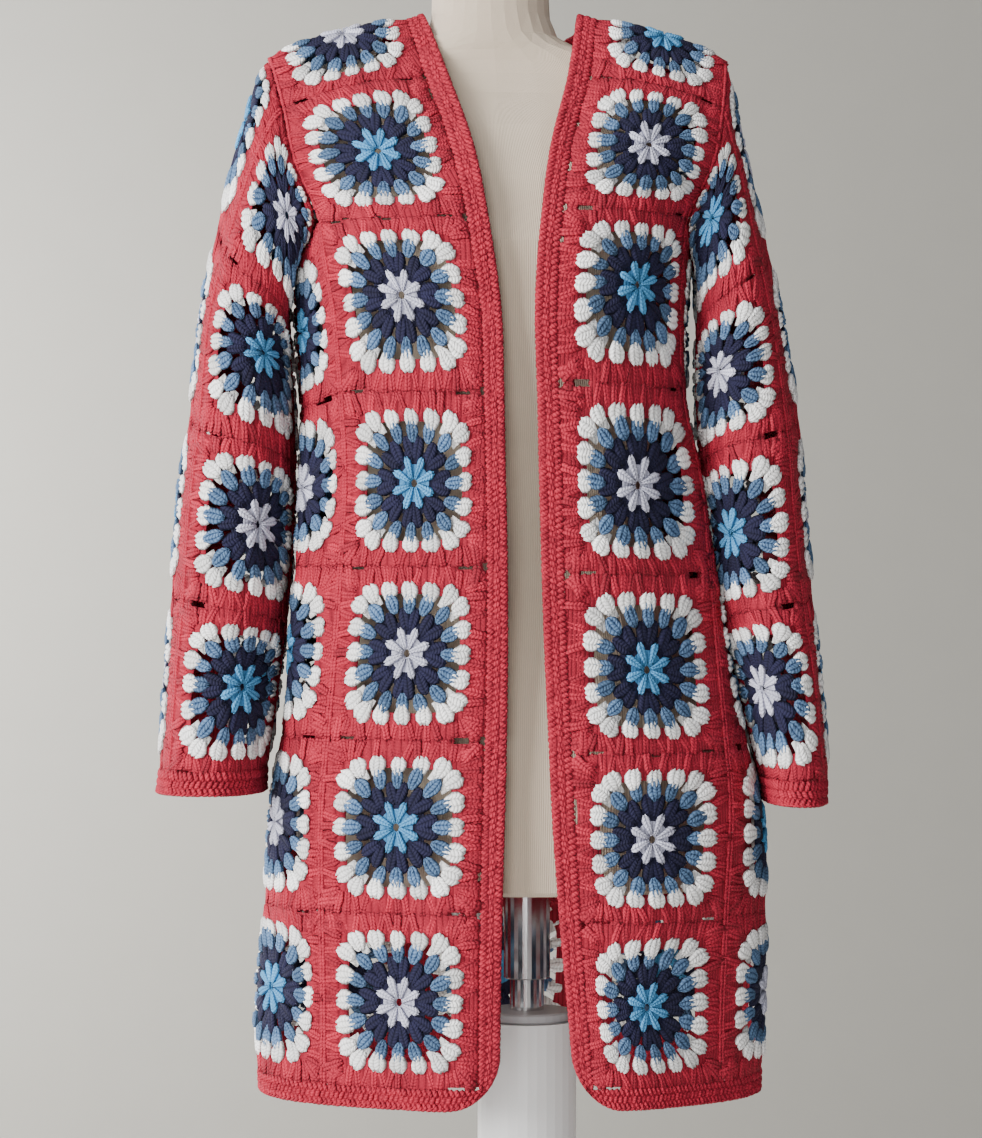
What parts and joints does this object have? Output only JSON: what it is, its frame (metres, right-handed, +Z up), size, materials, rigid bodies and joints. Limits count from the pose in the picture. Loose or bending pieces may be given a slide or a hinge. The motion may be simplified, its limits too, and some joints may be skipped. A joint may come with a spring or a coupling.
{
  "type": "crochet coat on a dress form",
  "caption": "Open-front long-sleeved coat of crochet flower squares with plain edgings, worn by a limbless dress form on a round stand",
  "frame": {"origin": "middle of the bounding box, on the floor under the base", "axes": "+Z is up, the coat's open front faces -Y, and +X points to the viewer's right"},
  "size_m": [0.5594, 0.38, 1.45],
  "materials": {
    "square_yarn": "worsted yarn, crocheted",
    "red_yarn": "worsted yarn, crocheted",
    "jersey": "fine ribbed jersey",
    "chrome": "polished",
    "white_paint": "satin",
    "grey_plastic": "matt"
  },
  "bodies": {
    "root": {"back_centre": "square_yarn", "back_left": "square_yarn", "back_right": "square_yarn", "base": "white_paint", "column": "white_paint", "column_rim": "grey_plastic", "cuff_left": "red_yarn", "cuff_right": "red_yarn", "dress_form": "jersey", "front_band_left": "red_yarn", "front_band_right": "red_yarn", "front_left": "square_yarn", "front_right": "square_yarn", "hem_band": "red_yarn", "neck_band": "red_yarn", "neck_cap": "white_paint", "shoulder_left": "square_yarn", "shoulder_right": "square_yarn", "side_left": "square_yarn", "side_right": "square_yarn", "sleeve_left_back": "square_yarn", "sleeve_left_front": "square_yarn", "sleeve_left_outer": "square_yarn", "sleeve_right_back": "square_yarn", "sleeve_right_front": "square_yarn", "sleeve_right_outer": "square_yarn", "stand_pole": "chrome", "stand_tube": "chrome"}
  },
  "joints": []
}
